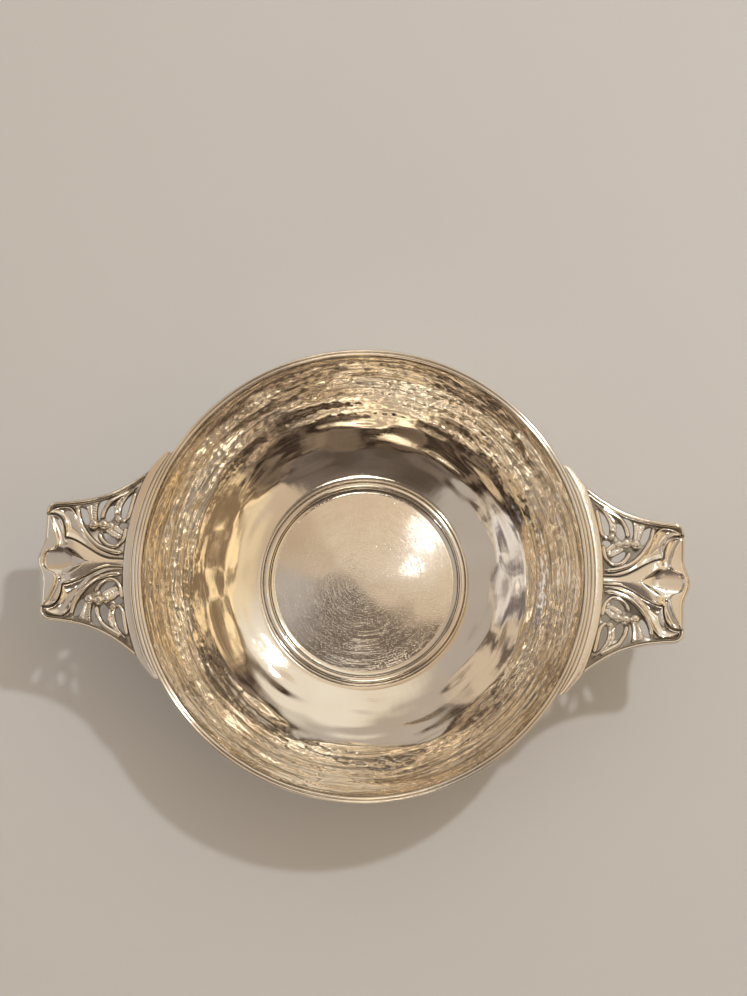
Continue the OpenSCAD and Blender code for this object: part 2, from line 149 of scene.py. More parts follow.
# The two edges of each small leaf; some lap over the piercings
SMALL_LEAVES = [
    ([[0.03, 0.955], [0.12, 0.95], [0.195, 0.91], [0.222, 0.82], [0.208, 0.74], [0.20, 0.66]],
     [[0.035, 0.935], [0.10, 0.875], [0.13, 0.76], [0.12, 0.64]]),
    ([[0.555, 0.965], [0.525, 0.87], [0.495, 0.76], [0.465, 0.66]],
     [[0.41, 0.97], [0.405, 0.82], [0.385, 0.66]]),
    ([[0.035, 0.385], [0.08, 0.44], [0.13, 0.505], [0.19, 0.54], [0.25, 0.525]],
     [[0.08, 0.305], [0.14, 0.33], [0.22, 0.40], [0.275, 0.475]]),
    ([[0.665, 0.975], [0.70, 0.98], [0.75, 0.98]], [[0.645, 0.87], [0.68, 0.935], [0.75, 0.975]]),
]
# Berries: place along, place across, and size as a share of BERRY_D
BERRIES = [[0.14, 0.60, 0.66], [0.21, 0.525, 0.86], [0.30, 0.58, 1.0], [0.415, 0.61, 1.0]]
# Edge of the tip's side lobe, and the petal's edge beside it
TIP_SIDE = [[0.765, 0.30], [0.755, 0.45], [0.77, 0.60], [0.81, 0.74], [0.88, 0.82], [0.96, 0.84]]
LOBE_SHIFT = [-0.015, 0.03]
# Outer edge of a side petal: beside the main stem, then along the border to the corner
PETAL_EDGE = [
    [0.02, 0.085], [0.13, 0.105], [0.24, 0.155], [0.35, 0.235], [0.47, 0.395], [0.55, 0.56],
    [0.605, 0.72], [0.66, 0.87], [0.73, 0.965], [0.82, 0.98], [0.90, 0.955], [0.95, 0.905],
]


# Plain maths. A roll is a width and a height; a bead, band, groove or rib is a middle, a half width
# and mostly a height. Spans and pairs called start, end or rise are where a ramp begins and is full

def smooth(t):
    t = np.clip(t, 0, 1)
    return t * t * (3 - 2 * t)


def mix(a, b, t):
    return a + (b - a) * t


def ramp(value, start, stop):
    """A smooth rise from 0 to 1 while a value goes from start to stop."""
    return smooth((value - start) / (stop - start))


def bump_at(value, centre, width, height=1.0):
    """A smooth hump round a centre."""
    return height * np.exp(-((value - centre) / width) ** 2)


def half_round(v):
    """Height of a half-round wire at v from -1 to 1 across it."""
    return np.sqrt(np.clip(1 - v * v, 0, 1))


def wire(v, middle, half, height=1.0):
    """Height across a half-round wire, and 0 beside it."""
    return height * half_round(np.clip((v - middle) / half, -1, 1))


def rolled(distance, width, height, room=np.inf):
    """How far a rolled edge falls, over its width or half the room if that is less."""
    return height * (1 - half_round(1 - np.clip(distance / np.minimum(width, room / 2), 0, 1)))


def turns(count):
    """Even turns round an axis, in radians."""
    return np.linspace(0, FULL_TURN, count, endpoint=False)


def polar(r, turn, z):
    """Points at a radius, a turn round the axis and a height."""
    return np.stack(np.broadcast_arrays(r * np.cos(turn), r * np.sin(turn), z), -1)


def leftward(way):
    """Unit ways to the left of the ways along a line."""
    way = way / np.linalg.norm(way, axis=1)[:, None]
    return np.stack([-way[:, 1], way[:, 0]], -1)


def open_curve(places, steps=8):
    """A smooth line through points."""
    p = np.asarray(places, float)
    p = np.concatenate([p[:1], p, p[-1:]])
    t = np.arange(steps)[:, None] / steps
    parts = []
    for a, b, c, d in zip(p, p[1:], p[2:], p[3:]):
        bend = (c - a) * t + (2 * a - 5 * b + 4 * c - d) * t ** 2 + (3 * b - a - 3 * c + d) * t ** 3
        parts.append(b + bend / 2)
    return np.concatenate(parts + [p[-1:]])


def closed_curve(places, steps=8):
    """A smooth closed line through points."""
    p = np.asarray(places, float)
    ring = np.concatenate([p[-1:], p, p[:2]])
    return open_curve(ring, steps)[steps:-1 - steps]


def resample(line, count):
    """Points at even steps along a line."""
    reach = np.concatenate([[0], np.cumsum(np.linalg.norm(np.diff(line, axis=0), axis=1))])
    want = np.linspace(0, reach[-1], count)
    return np.stack([np.interp(want, reach, axis) for axis in line.T], -1)


def arc(centre, radius, start, stop, steps):
    """Points on an arc, with its angles in degrees."""
    a = np.radians(np.linspace(start, stop, steps + 1))
    return np.asarray(centre) + radius * np.stack([np.cos(a), np.sin(a)], -1)


# Meshes: a shell is its points, its faces and how deep in a recess each point lies

def grid_faces(rows, cols, ring=False):
    """Quads of a grid of points; a ring joins its last row to its first."""
    i, j = np.meshgrid(np.arange(rows if ring else rows - 1), np.arange(cols - 1), indexing="ij")
    n = (i + 1) % rows
    quads = np.stack([i * cols + j, n * cols + j, n * cols + j + 1, i * cols + j + 1], -1)
    return quads.reshape(-1, 4).tolist()


def capped_faces(rows, cols):
    """Faces of a ring of rows, with a cap at each end of the rows."""
    faces = grid_faces(rows, cols, ring=True)
    faces.append([i * cols for i in range(rows)])
    faces.append([i * cols + cols - 1 for i in range(rows)])
    return faces


def slab(plan, z, base_z, recess, base_shift=0.0, base_recess=1.0):
    """A closed shell: plan points at heights z, with walls down to a flat base.
    base_shift moves the base of its first column in towards the bowl's axis."""
    rows, cols = plan.shape[:2]
    top = np.concatenate([plan, np.broadcast_to(z, (rows, cols))[..., None]], -1)
    left = top[:, 0].copy()
    left[:, :2] *= 1 - base_shift / np.linalg.norm(left[:, :2], axis=1)[:, None]
    right = top[:, -1].copy()
    left[:, 2] = base_z
    right[:, 2] = base_z
    points = np.concatenate([top.reshape(-1, 3), left, right])
    a = rows * cols
    b = a + rows
    faces = grid_faces(rows, cols)
    for i in range(rows - 1):
        start, after = i * cols, (i + 1) * cols
        faces.append([after, start, a + i, a + i + 1])
        faces.append([start + cols - 1, after + cols - 1, b + i + 1, b + i])
        faces.append([a + i + 1, a + i, b + i, b + i + 1])
    faces.append([*range(cols), b, a])
    faces.append([*range(rows * cols - 1, (rows - 1) * cols - 1, -1), a + rows - 1, b + rows - 1])
    recess = np.broadcast_to(np.clip(recess, 0, 1), (rows, cols))
    depth = np.concatenate([recess.reshape(-1), np.full(2 * rows, base_recess)])
    return points, faces, depth


def patch(left, right, across):
    """Plan points between two edge lines with the same number of points."""
    v = np.linspace(0, 1, across)[None, :, None]
    return left[:, None] * (1 - v) + right[:, None] * v


def relief(plan, height, recess, sink=0.1):
    """A raised piece of ornament, sunk a little in the plate."""
    return slab(plan, PLATE_TOP + height, PLATE_TOP - sink, recess)


def lathe(profile, segments, recess=0.0):
    """A ring turned from a closed profile of [r, z] points."""
    p = np.asarray(profile, float)
    count = len(p)
    points = polar(p[:, 0], turns(segments)[:, None], p[:, 1])
    faces = []
    for quad in grid_faces(segments, count + 1, ring=True):
        faces.append([(q // (count + 1)) * count + (q % (count + 1)) % count for q in quad])
    return points.reshape(-1, 3), faces, np.tile(np.broadcast_to(recess, count), segments)


def mirrored(shell, x=1, y=1):
    """A shell turned over to another side or half of the quaich."""
    points, faces, depth = shell
    return points * np.array([x, y, 1]), faces, depth


def store(mesh, name, values):
    """Keep a value for each point of a mesh, for its material."""
    mesh.attributes.new(name, "FLOAT", "POINT").data.foreach_set("value", values)


def add_object(name, data):
    obj = bpy.data.objects.new(name, data)
    bpy.context.scene.collection.objects.link(obj)
    return obj


def make_piece(name, shells, material, nodes):
    """One object from closed shells. It rides on the root body and stands for CAD nodes."""
    points, faces, depth = [], [], []
    start = 0
    for shell_points, shell_faces, shell_depth in shells:
        points.append(shell_points)
        depth.append(shell_depth)
        faces += [[q + start for q in face] for face in shell_faces]
        start += len(shell_points)
    mesh = bpy.data.meshes.new(name)
    mesh.from_pydata((np.concatenate(points) * MM).tolist(), [], faces)
    work = bmesh.new()
    work.from_mesh(mesh)
    bmesh.ops.recalc_face_normals(work, faces=work.faces)
    work.to_mesh(mesh)
    work.free()
    store(mesh, "recess", np.concatenate(depth))
    mesh.polygons.foreach_set("use_smooth", [True] * len(mesh.polygons))
    mesh.set_sharp_from_angle(angle=SHARP_ANGLE)
    mesh.materials.append(material)
    obj = add_object(name, mesh)
    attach(obj, "root")
    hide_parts(*nodes)
    return obj


# Materials

SILVER = (0.93, 0.89, 0.82, 1)
SILVER_SHADE = (0.84, 0.762, 0.65, 1)
TARNISH = (0.095, 0.066, 0.044, 1)
# Noises: scale, detail and roughness, and for patches the values over which they set in
MOTTLE = (140, 4, 0.55)
LINES = (1.0, 4, 0.65)
CLOUDS = (35, 2, 0.55, 0.30, 0.70)
SPECKS = (2600, 2, 0.55, 0.52, 0.72)
SCRATCHES = (1.0, 2, 0.6, 0.56, 0.66)
STREAKS = (1.0, 3, 0.7, 0.46, 0.70)
# Grains: marks to the metre across and to the radian along circles, or to the metre along X, Y and Z
SCRATCH_GRAIN = (4800, 1.6)
STREAK_GRAIN = (800, 2.2)
FACET_GRAIN = (850, 36)
PLAIN_GRAIN = (900, 260, 900)
# Fine hammer facets: how unevenly they lie, how far they tilt and how deep they are dished
FACET_RANDOM = 0.8
FACET_TILT = (0.075, 0.075, 0.075)
FACET_DEPTH = 1.5e-5
HALF_GREY = (0.5, 0.5, 0.5)
# Tarnish: in streaks, least and most in a recess, the mottle it sets in over, and its roughness
STREAK_DIRT = 0.6
DIRT_SHARE = (0.7, 1.1)
DIRT_SPAN = (0.25, 0.70)
DIRT_ROUGHNESS = 0.25
# Wear: shares of the lines and the mottle, and the values over which it dulls the polish
LINE_WEAR = 0.6
MOTTLE_WEAR = 0.4
WEAR_SPAN = (0.35, 0.68)


class Shader:
    """Nodes of a material or a world, added one at a time."""

    def __init__(self, owner, surface="Principled BSDF"):
        self.owner = owner
        owner.use_nodes = True
        self.tree = owner.node_tree
        self.surface = self.tree.nodes[surface].inputs

    def add(self, kind, inputs=(), **settings):
        node = self.tree.nodes.new(kind)
        for key, value in settings.items():
            setattr(node, key, value)
        for key, value in dict(inputs).items():
            self.feed(node.inputs[key], value)
        return node

    def feed(self, socket, value):
        """Link another node's output to a socket, or set it to a plain value."""
        if isinstance(value, bpy.types.NodeSocket):
            self.tree.links.new(value, socket)
        else:
            socket.default_value = value

    def place(self):
        return self.add("ShaderNodeTexCoord").outputs["Object"]

    def normal(self):
        return self.add("ShaderNodeNewGeometry").outputs["Normal"]

    def value(self, name):
        """A value stored on the mesh's points."""
        return self.add("ShaderNodeAttribute", attribute_name=name).outputs["Fac"]

    def noise(self, vector, scale, detail, roughness):
        inputs = {"Vector": vector, "Scale": scale, "Detail": detail, "Roughness": roughness}
        return self.add("ShaderNodeTexNoise", inputs).outputs["Fac"]

    def math(self, operation, *values, clamp=False):
        node = self.add("ShaderNodeMath", enumerate(values), operation=operation, use_clamp=clamp)
        return node.outputs[0]

    def vector(self, operation, *values, output="Vector"):
        node = self.add("ShaderNodeVectorMath", enumerate(values), operation=operation)
        return node.outputs[output]

    def span(self, value, start, stop, first=0.0, last=1.0):
        """A smooth step from first to last while a value goes from start to stop."""
        inputs = {"Value": value, "From Min": start, "From Max": stop, "To Min": first, "To Max": last}
        return self.add("ShaderNodeMapRange", inputs, interpolation_type="SMOOTHSTEP").outputs["Result"]

    def patches(self, vector, scale, detail, roughness, start, stop, last=1.0):
        """Noise, as a smooth step from 0 to last."""
        return self.span(self.noise(vector, scale, detail, roughness), start, stop, 0.0, last)

    def blend(self, factor, a, b):
        """A mix of two colours."""
        node = self.add("ShaderNodeMix", {0: factor, 6: a, 7: b}, data_type="RGBA")
        return node.outputs[2]

    def bump(self, height, normal):
        """Surface normals of a height in metres."""
        inputs = {"Height": height, "Distance": 1.0, "Normal": normal}
        return self.add("ShaderNodeBump", inputs).outputs["Normal"]

    def turned(self, place, across, along):
        """Coordinates that follow circles round the axis, in marks to the metre and to the radian."""
        parts = self.add("ShaderNodeSeparateXYZ", {0: place}).outputs
        radius = self.vector("LENGTH", self.vector("MULTIPLY", place, (1, 1, 0)), output="Value")
        reach = self.math("ADD", radius, parts["Z"])
        turn = self.math("ARCTAN2", parts["Y"], parts["X"])
        inputs = {"X": self.math("MULTIPLY", reach, across), "Y": self.math("MULTIPLY", turn, along)}
        return self.add("ShaderNodeCombineXYZ", inputs).outputs[0]

    def facets(self, place, share):
        """Flat hammer facets round the wall: tilted normals, and distances from their middles."""
        inputs = {"Vector": self.turned(place, *FACET_GRAIN), "Scale": 1.0, "Randomness": FACET_RANDOM}
        cells = self.add("ShaderNodeTexVoronoi", inputs, voronoi_dimensions="2D").outputs
        lean = self.vector("SUBTRACT", cells["Color"], HALF_GREY)
        tilt = self.vector("MULTIPLY", lean, FACET_TILT)
        fade = self.add("ShaderNodeVectorMath", {0: tilt, "Scale": share}, operation="SCALE")
        tilted = self.vector("ADD", self.normal(), fade.outputs["Vector"])
        return self.vector("NORMALIZE", tilted), self.math("MULTIPLY", cells["Distance"], share)


def silver(name, polish, dull, tarnish=1.0, turned=None, line_depth=2e-6, speck_depth=5e-7,
           scratch_depth=0.0, hammered=False):
    """Worn silver with fine marks, and brown tarnish where the recess value is high.
    Its lines run round the bowl's axis if turned gives their grain."""
    s = Shader(bpy.data.materials.new(name))
    place = s.place()
    mottle = s.noise(place, *MOTTLE)
    shares = [share * tarnish for share in DIRT_SHARE]
    dirt = s.math("MULTIPLY", s.value("recess"), s.span(mottle, *DIRT_SPAN, *shares), clamp=True)
    grain = s.turned(place, *turned) if turned else s.vector("MULTIPLY", place, PLAIN_GRAIN)
    lines = s.noise(grain, *LINES)
    specks = s.patches(place, *SPECKS)
    height = s.math("MULTIPLY_ADD", lines, line_depth, s.math("MULTIPLY", specks, speck_depth))
    if scratch_depth:
        scratches = s.patches(s.turned(place, *SCRATCH_GRAIN), *SCRATCHES)
        height = s.math("MULTIPLY_ADD", scratches, scratch_depth, height)
    normal = s.normal()
    if hammered:
        fine = s.value("fine_marks")
        normal, dish = s.facets(place, fine)
        height = s.math("MULTIPLY_ADD", s.math("POWER", dish, 2.0), FACET_DEPTH, height)
        streaks = s.patches(s.turned(place, *STREAK_GRAIN), *STREAKS, STREAK_DIRT)
        dirt = s.math("MAXIMUM", dirt, s.math("MULTIPLY", streaks, fine))
    tone = s.blend(s.patches(place, *CLOUDS), SILVER, SILVER_SHADE)
    wear = s.math("MULTIPLY_ADD", lines, LINE_WEAR, s.math("MULTIPLY", mottle, MOTTLE_WEAR))
    gloss = s.span(wear, *WEAR_SPAN, polish, dull)
    s.feed(s.surface["Base Color"], s.blend(dirt, tone, TARNISH))
    s.feed(s.surface["Roughness"], s.math("MULTIPLY_ADD", dirt, DIRT_ROUGHNESS, gloss))
    s.feed(s.surface["Metallic"], 1.0)
    s.feed(s.surface["Normal"], s.bump(height, normal))
    return s.owner


# The bowl, with its hammer marks
SEGMENTS = 640
# Each face of the wall: low_share is the share of its rows below the hammer slope, course the spacing
# of the blows, face_r the radius of the hammer's face, and low_force the share of its force low down
INSIDE = {"rows": 98, "low_share": 0.2, "course": 2.4, "face_r": 20.0, "low_force": 0.12, "dents": 1.0}
OUTSIDE = {"rows": 44, "low_share": 0.4, "course": 4.2, "face_r": 30.0, "low_force": 1.0, "dents": 0.25}
# Blows: where they begin, and the angle to full force
HAMMER_SLOPE = math.radians(36)
HAMMER_RISE = math.radians(12)
# Long dents: where they set in, the angle to full depth, and their share below
COURSE_SLOPE = math.radians(17)
COURSE_RISE = math.radians(9)
COURSE_LOW = 0.1
# Angles over which all marks fade at the floor and the lip, in radians
FLOOR_FADE = 0.03
LIP_FADE = 0.01


def wall_place(radius, slope, turn):
    """Points on the wall, and the way out of the metal inside."""
    r = WALL_CENTRE_R + radius * np.sin(slope)
    points = polar(r, turn, WALL_CENTRE_Z - radius * np.cos(slope))
    return points, polar(-np.sin(slope), turn, np.cos(slope))


def blows(rng, radius, course, blow_depths=(0.015, 0.05), stray_round=0.2, stray_up=0.15):
    """Centres of hammer blows in courses round the wall, and the depth of each.
    They stray by shares of their spacing."""
    rows = int((LIP_SLOPE - FLOOR_SLOPE) * radius / course)
    centres, depths = [], []
    for slope in np.linspace(FLOOR_SLOPE, LIP_SLOPE, rows + 1):
        r = WALL_CENTRE_R + radius * math.sin(slope)
        count = int(FULL_TURN * r / course)
        turn = (np.arange(count) + rng.uniform() + rng.normal(0, stray_round, count)) * FULL_TURN / count
        tilt = slope + rng.normal(0, stray_up, count) * course / radius
        centres.append(wall_place(radius, tilt, turn)[0])
        depths.append(rng.uniform(*blow_depths, count))
    return np.concatenate(centres), np.concatenate(depths)


def struck(points, centres, depths, face_r, near_blows=4):
    """Height of a struck surface: each point lies in the deepest mark near it."""
    tree = kdtree.KDTree(len(centres))
    for i, centre in enumerate(centres):
        tree.insert(centre, i)
    tree.balance()
    heights = []
    for point in points.reshape(-1, 3):
        marks = tree.find_n(point, near_blows)
        heights.append(min(d * d / (2 * face_r) - depths[i] for _, i, d in marks))
    return np.array(heights).reshape(points.shape[:-1])


def long_dents(rng, radius, slope, turn, count=900, lengths=(4.0, 11.0), widths=(1.3, 2.4),
               depths=(0.05, 0.18)):
    """Height of the wall over long dents round it, about their mean. Sizes are halves."""
    total = np.zeros((len(slope), turn.shape[1]))
    for _ in range(count):
        at_slope, at_turn = rng.uniform([FLOOR_SLOPE, 0], [LIP_SLOPE, FULL_TURN])
        width = rng.uniform(*widths)
        length = rng.uniform(*lengths)
        depth = rng.uniform(*depths)
        round_r = WALL_CENTRE_R + radius * math.sin(at_slope)
        up = (slope - at_slope) * radius
        sideways = ((turn - at_turn + math.pi) % FULL_TURN - math.pi) * round_r
        total -= depth * (bump_at(up, 0, width) * bump_at(sideways, 0, length))
    return total - total.mean()


def hammered_wall(rng, radius, rows, low_share, course, face_r, low_force, dents):
    """A face of the wall, and how high each point stands over its dents."""
    low_rows = int(low_share * rows)
    low_slopes = np.linspace(FLOOR_SLOPE, HAMMER_SLOPE, low_rows, endpoint=False)
    slope = np.concatenate([low_slopes, np.linspace(HAMMER_SLOPE, LIP_SLOPE, rows - low_rows)])[:, None]
    turn = turns(SEGMENTS)[None, :]
    points, ways = wall_place(radius, slope, turn)
    force = mix(low_force, 1.0, smooth((slope - HAMMER_SLOPE) / HAMMER_RISE))
    marks = struck(points, *blows(rng, radius, course), face_r)
    swell = dents * mix(COURSE_LOW, 1.0, smooth((slope - COURSE_SLOPE) / COURSE_RISE))
    height = force * (marks - marks.max()) + swell * long_dents(rng, radius, slope, turn)
    edge = smooth((slope - FLOOR_SLOPE) / FLOOR_FADE) * smooth((LIP_SLOPE - slope) / LIP_FADE)
    return points, ways, height * edge


def make_bowl(material, hub_r=2.0, floor_in=2.0, under_in=1.0, under_rings=5, seam_width=0.5,
              seam_height=0.6, seam_dirt=0.8, fine_heights=(14.5, 18.5), fine_outside=0.3):
    """The sheet, from the middle of the floor up the inside, over the lip and back underneath.
    Its fine marks start over fine_heights, and fade to fine_outside on the outer face."""
    rng = np.random.default_rng(SEED)
    inner, ways, height = hammered_wall(rng, WALL_ARC_R, **INSIDE)
    inner = inner + ways * height[..., None]
    outer, ways, height = hammered_wall(rng, WALL_ARC_R + WALL, **OUTSIDE)
    outer = outer - ways * height[..., None]
    outer[..., 2] = np.minimum(outer[..., 2], LIP_Z)
    turn = turns(SEGMENTS)
    floor = np.array([polar(r, turn, FLOOR_Z) for r in (hub_r, FLOOR_R - floor_in)])
    under_radii = np.linspace(FLOOR_R - under_in, hub_r, under_rings)
    under = np.array([polar(r, turn, UNDER_Z) for r in under_radii])
    parts = [floor, inner, outer[::-1], under]
    points = np.concatenate(parts).transpose(1, 0, 2)
    faces = capped_faces(SEGMENTS, points.shape[1])
    flat = points.reshape(-1, 3)
    r = np.hypot(flat[:, 0], flat[:, 1])
    seam = bump_at(r, LIP_R, seam_width, seam_dirt) * (flat[:, 2] > LIP_Z - seam_height)
    bowl = make_piece("bowl_sheet", [(flat, faces, seam)], material, ["bowl"])
    shares = np.repeat([0, 1, fine_outside, 0], [len(part) for part in parts])
    store(bowl.data, "fine_marks", np.tile(shares, SEGMENTS) * ramp(flat[:, 2], *fine_heights))


def make_rim(material, steps=14, segments=720, reed_end=30, groove_depth=0.5, dirt_depths=(0.3, 0.7),
             dirt_width=0.3):
    """Two reeds that end at an angle beside a groove."""
    reed_r = RIM_W / 4
    shoulder = TOP_Z - reed_r
    groove_r = LIP_R + 2 * reed_r
    inner = arc([LIP_R + reed_r, shoulder], reed_r, 180, reed_end, steps)
    outer = arc([RIM_R - reed_r, shoulder], reed_r, 180 - reed_end, 0, steps)
    groove = [[groove_r, TOP_Z - groove_depth]]
    profile = np.concatenate([[[LIP_R, LIP_Z]], inner, groove, outer, [[RIM_R, LIP_Z]]])
    dirt = ramp(TOP_Z - profile[:, 1], *dirt_depths) * bump_at(profile[:, 0], groove_r, dirt_width)
    make_piece("rim_reeds", [lathe(profile, segments, dirt)], material, ["rim_wire"])


def make_ring(material, steps=73, segments=480, beads=((0.10, 0.10, 0.75), (0.85, 0.15, 0.85)),
              band_middle=0.43, band_half=0.235, band_round=0.25, band_side=0.62,
              groove_height=0.42, dirt_span=(0.62, 0.42), dirt=0.8):
    """A fine inner bead, a broad low band and an outer bead, with grooves between.
    All in shares of the ring's width and height."""
    v = np.linspace(0, 1, steps)
    height = np.full(steps, groove_height)
    for bead in beads:
        height = np.maximum(height, wire(v, *bead))
    band = band_side + wire(v, band_middle, band_round, 1 - band_side)
    height = np.where(np.abs(v - band_middle) > band_half, height, np.maximum(height, band))
    inner_r = RING_R - RING_W
    top = np.stack([inner_r + RING_W * v, FLOOR_Z + RING_H * height], -1)[::-1]
    profile = np.concatenate([[[RING_R, FLOOR_Z]], top, [[inner_r, FLOOR_Z]]])
    recess = dirt * ramp((profile[:, 1] - FLOOR_Z) / RING_H, *dirt_span)
    shell = lathe(profile, segments, recess)
    make_piece("moulded_ring", [shell], material, ["centre_ring"])


def soft_dents(points, rng, count=40, sizes=(3.5, 7.0), depths=(0.008, 0.03)):
    """Depth of broad soft dents at scattered places."""
    total = np.zeros(points.shape[:-1])
    for centre in rng.uniform(-DISC_R, DISC_R, (count, 2)):
        reach = np.linalg.norm(points - centre, axis=-1)
        total += rng.uniform(*depths) * bump_at(reach, 0, rng.uniform(*sizes))
    return total


def make_disc(material, flat_rings=60, cove_rings=15, segments=360, cove_width=1.4, cove_height=0.38,
              true_width=2.0, dirt_width=0.25, dirt=0.7, hub_r=1.0):
    """A low crown, not quite true, that rises in a cove to the ring round it."""
    rng = np.random.default_rng(SEED + 1)
    cove_r = DISC_R - cove_width
    flat_radii = np.linspace(hub_r, cove_r, flat_rings)
    radii = np.concatenate([flat_radii, np.linspace(cove_r, DISC_R, cove_rings)[1:]])
    r, a = np.meshgrid(radii, turns(segments), indexing="ij")
    plan = np.stack([r * np.cos(a), r * np.sin(a)], -1)
    crown = DISC_T + DISC_CROWN * (1 - (r / DISC_R) ** 2)
    cove = cove_height * np.clip((r - cove_r) / cove_width, 0, 1) ** 2
    dents = soft_dents(plan, rng) * smooth((DISC_R - r) / true_width)
    points = polar(r, a, FLOOR_Z + crown + cove - dents)
    skirt = points[-1:].copy()
    skirt[..., 2] = FLOOR_Z
    rings = np.concatenate([points, skirt]).transpose(1, 0, 2)
    faces = capped_faces(segments, rings.shape[1])
    flat = rings.reshape(-1, 3)
    recess = dirt * ramp(DISC_R - np.hypot(flat[:, 0], flat[:, 1]), dirt_width, 0)
    make_piece("dished_disc", [(flat, faces, recess)], material, ["centre_disc"])


def make_foot(sheet, wire_metal, steps=18, bead_steps=16, segments=360, dirt_span=(0.85, 1.0)):
    """A collar that spreads to its base, on a bead that stands on the table."""
    rise = np.linspace(0, 1, steps)
    radii = mix(COLLET_BASE_R, COLLET_TOP_R, np.sin(rise * math.pi / 2))
    outer = np.stack([radii, mix(FOOT_WIRE_H, UNDER_Z, rise)], -1)
    collet = np.concatenate([outer, outer[::-1] - [COLLET_T, 0]])
    recess = np.concatenate([ramp(rise, *dirt_span), np.zeros(steps)])
    bead_r = FOOT_WIRE_H / 2
    bead = arc([FOOT_R - bead_r, bead_r], bead_r, -90, 90, bead_steps)
    inner_r = FOOT_R - FOOT_WIRE_W
    foot = np.concatenate([[[inner_r, 0.0]], bead, [[inner_r, FOOT_WIRE_H]]])
    collar = lathe(collet, segments, recess)
    make_piece("foot_collar", [collar], sheet, ["foot_collet"])
    make_piece("foot_bead", [lathe(foot, segments)], wire_metal, ["foot_wire"])


# Lug grid

def outer_half(s):
    """Half the lug's width at s along it."""
    return ROOT_HALF - FLARE_HALF * (1 - np.exp(-s / BORDER_FALL))


def inner_half(s):
    """Half the width between the borders at s along the lug."""
    slope = FLARE_HALF / BORDER_FALL * np.exp(-s / BORDER_FALL) / (TIP_X - STRAP_R)
    return outer_half(s) - BORDER_W * np.sqrt(1 + slope ** 2)


def leaf_half(s):
    """Half the width of the central tongue at s along the lug."""
    return mix(LEAF_ROOT_W, LEAF_W, ramp(s, *LEAF_FLARE)) / 2


def along(s, y):
    """Plan point at s along a lug and y across it."""
    return np.stack([mix(np.sqrt(STRAP_R ** 2 - y * y), TIP_X, s), y + 0 * s], -1)


def on_lug(places):
    """Plan points of [s, t] places."""
    p = np.asarray(places, float)
    return along(p[..., 0], p[..., 1] * inner_half(p[..., 0]))


def tip_edge(y):
    """How far out the lug's end reaches at y across it."""
    return TIP_X + TIP_SWELL * (1 + np.cos(math.pi * np.minimum(np.abs(y) / SWELL_HALF, 1))) / 2


CORNER_S = 1 - CORNER_R / (TIP_X - math.sqrt(STRAP_R ** 2 - TIP_HALF ** 2))
CORNER_Y = float(outer_half(CORNER_S)) - CORNER_R
CORNER = [TIP_X - CORNER_R, CORNER_Y]
ROOT_S = 0.002


# Lug pieces: each function gives the shells of one half or one whole of the right lug.

# The plate's triangles fill its outline and join points this close; a level edge counts as this steep
FILL_OUTLINE = 1
JOIN_GAP = 1e-7
TINY = 1e-12


def lug_outline(side_steps=40, corner_steps=8, end_steps=30, root_steps=41, corner_arc=(75, 15)):
    s = np.linspace(ROOT_S, CORNER_S, side_steps)
    side = along(s, outer_half(s))
    corner = arc(CORNER, CORNER_R, *corner_arc, corner_steps)
    y = np.linspace(CORNER_Y, 0, end_steps)
    half = np.concatenate([side, corner, np.stack([tip_edge(y), y], -1)])
    y = np.linspace(-1, 1, root_steps)[1:-1] * outer_half(ROOT_S)
    root = along(ROOT_S + 0 * y, y)
    return np.concatenate([half, half[-2::-1] * [1, -1], root])


def pushed(loop, distance):
    """A closed loop moved sideways to its left."""
    return loop + distance * leftward(np.roll(loop, -1, 0) - np.roll(loop, 1, 0))


def turned_left(loop):
    """The loop, turned to run anticlockwise."""
    x, y = loop.T
    area = np.sum(x * np.roll(y, -1) - np.roll(x, -1) * y)
    return loop if area > 0 else loop[::-1]


def in_loop(loop, points):
    """Whether each point lies inside a closed loop."""
    found = np.zeros(len(points), bool)
    for a, b in zip(loop, np.roll(loop, -1, 0)):
        crosses = (a[1] > points[:, 1]) != (b[1] > points[:, 1])
        x = a[0] + (points[:, 1] - a[1]) * (b[0] - a[0]) / (b[1] - a[1] + TINY)
        found ^= crosses & (points[:, 0] < x)
    return found


def plate_shell(ease=0.18, recess=(1.0, 0.75, 0.35, 0.0)):
    """The pierced sheet with eased edges."""
    loops = [turned_left(lug_outline())]
    for piercing in PIERCINGS:
        for half in HALVES.values():
            loops.append(turned_left(closed_curve(on_lug(piercing)) * [1, half])[::-1])
    eased = [pushed(loop, ease) for loop in loops]
    starts = np.cumsum([0] + [len(loop) for loop in loops])
    count = starts[-1]
    edges = []
    for start, loop in zip(starts, loops):
        n = len(loop)
        edges += [(start + i, start + (i + 1) % n) for i in range(n)]
    face, side = np.concatenate(eased), np.concatenate(loops)
    corners = [Vector(point) for point in face]
    found, _, tris, *_ = geometry.delaunay_2d_cdt(corners, edges, [], FILL_OUTLINE, JOIN_GAP)
    if len(found) != count:
        raise RuntimeError("the plate's loops cross")
    middles = face[np.array(tris)].mean(1)
    solid = in_loop(eased[0], middles)
    for loop in eased[1:]:
        solid &= ~in_loop(loop, middles)
    tris = np.array(tris)[solid]
    top_ease, base_ease = PLATE_TOP - ease, PLATE_Z + ease
    rims = [(face, PLATE_TOP), (side, top_ease), (side, base_ease), (face, PLATE_Z)]
    points = np.concatenate([np.column_stack([p, np.full(count, z)]) for p, z in rims])
    faces = tris.tolist() + (tris[:, ::-1] + 3 * count).tolist()
    for upper in range(0, 3 * count, count):
        lower = upper + count
        faces += [[b + upper, a + upper, a + lower, b + lower] for a, b in edges]
    return points, faces, np.repeat(recess, count)


